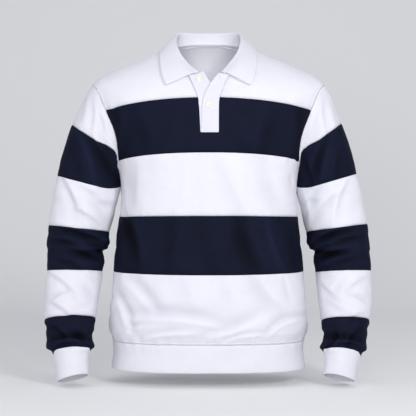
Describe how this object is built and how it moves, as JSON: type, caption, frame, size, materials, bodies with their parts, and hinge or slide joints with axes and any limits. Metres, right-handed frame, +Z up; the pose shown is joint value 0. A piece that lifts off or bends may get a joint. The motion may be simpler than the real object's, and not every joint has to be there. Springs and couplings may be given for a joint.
{
  "type": "long-sleeve polo shirt",
  "caption": "Hollow long-sleeve polo shirt in broad white and navy bands, as worn, with a turned-down collar, a short buttoned placket and ribbed cuffs and hem.",
  "frame": {"origin": "middle of the neck, level with the places where the collar's edge crosses the shoulders, where a wearer's neck and shoulders hold the shirt up", "axes": "+X towards the wearer's left sleeve, +Y towards the shirt's back, +Z up"},
  "size_m": [0.7476, 0.2564, 0.8058],
  "materials": {
    "white_jersey": "matte cotton jersey, cool white",
    "navy_jersey": "matte cotton jersey, dark navy",
    "white_rib": "matte fine cotton rib, cool white",
    "white_twill": "matte cotton twill, cool white",
    "cream_button": "semi-gloss cream resin"
  },
  "bodies": {
    "root": {"front_yoke_r": "white_jersey", "front_yoke_l": "white_jersey", "front_chest_navy": "navy_jersey", "front_mid_white": "white_jersey", "front_low_navy": "navy_jersey", "front_bottom_white": "white_jersey", "back_yoke_white": "white_jersey", "back_chest_navy": "navy_jersey", "back_mid_white": "white_jersey", "back_low_navy": "navy_jersey", "back_bottom_white": "white_jersey", "hem_rib": "white_rib", "sleeve_r_1_white": "white_jersey", "sleeve_r_2_navy": "navy_jersey", "sleeve_r_3_white": "white_jersey", "sleeve_r_4_navy": "navy_jersey", "sleeve_r_5_white": "white_jersey", "sleeve_r_6_navy": "navy_jersey", "cuff_r": "white_rib", "sleeve_l_1_white": "white_jersey", "sleeve_l_2_navy": "navy_jersey", "sleeve_l_3_white": "white_jersey", "sleeve_l_4_navy": "navy_jersey", "sleeve_l_5_white": "white_jersey", "sleeve_l_6_navy": "navy_jersey", "cuff_l": "white_rib", "collar": "white_rib", "neck_tape": "white_twill", "placket_under": "white_twill", "placket_upper": "white_twill", "button_top": "cream_button", "button_lower": "cream_button"}
  },
  "joints": []
}
